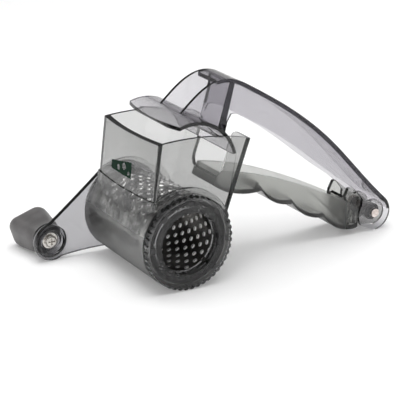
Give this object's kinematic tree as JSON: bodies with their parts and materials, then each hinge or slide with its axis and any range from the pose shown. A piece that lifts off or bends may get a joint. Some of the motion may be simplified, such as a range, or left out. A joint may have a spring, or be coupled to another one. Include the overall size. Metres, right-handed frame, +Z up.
{
  "type": "rotary cheese grater",
  "caption": "Hand-held rotary drum grater with an open hopper, a hinged press lever over a grip, a perforated steel drum and a side crank with a turning knob.",
  "frame": {"origin": "middle of the outlet, on the drum's axis at the face of the front collar", "axes": "+X from the hopper towards the hinge, +Y along the drum from its outlet to the crank, +Z up as it lies on a table"},
  "size_m": [0.2024, 0.0998, 0.1009],
  "materials": {
    "smoky_clear": "clear smoky styrene, polished",
    "smoky_clear_lever": "clear smoky styrene, polished, faintly violet",
    "satin_grip": "smoky styrene with a satin moulded surface",
    "pin_steel": "plain turned steel",
    "drum_steel": "stainless sheet",
    "dark_collar": "dark smoky plastic",
    "knob_plastic": "satin dark grey plastic",
    "insert_brass": "turned brass",
    "screw_steel": "plated steel"
  },
  "bodies": {
    "housing": {"hopper_body": "smoky_clear", "lower_handle": "satin_grip"},
    "lever": {"press_lever": "smoky_clear_lever", "hinge_pin": "pin_steel", "hinge_pin_cap": "pin_steel"},
    "drum": {"grating_drum": "drum_steel", "front_collar": "dark_collar", "rear_hub": "dark_collar"},
    "crank": {"crank_arm": "smoky_clear_lever", "knob_washer": "screw_steel"},
    "turning_knob": {"knob": "knob_plastic", "knob_insert": "insert_brass", "knob_screw": "screw_steel"}
  },
  "joints": [
    {"name": "lever_hinge", "type": "hinge", "parent": "housing", "child": "lever", "pos_m": [0.1368, 0.0368, -0.015], "axis": [0, 1, 0], "range_deg": [-14.5, 70]},
    {"name": "drum_spin", "type": "hinge", "parent": "housing", "child": "drum", "pos_m": [0, 0.0368, 0], "axis": [0, 1, 0], "continuous": true},
    {"name": "crank_pull", "type": "slide", "parent": "drum", "child": "crank", "axis": [0, 1, 0], "range_m": [0, 0.012]},
    {"name": "knob_spin", "type": "hinge", "parent": "crank", "child": "turning_knob", "pos_m": [-0.0436, 0.0868, -0.015], "axis": [0, 1, 0], "continuous": true}
  ]
}
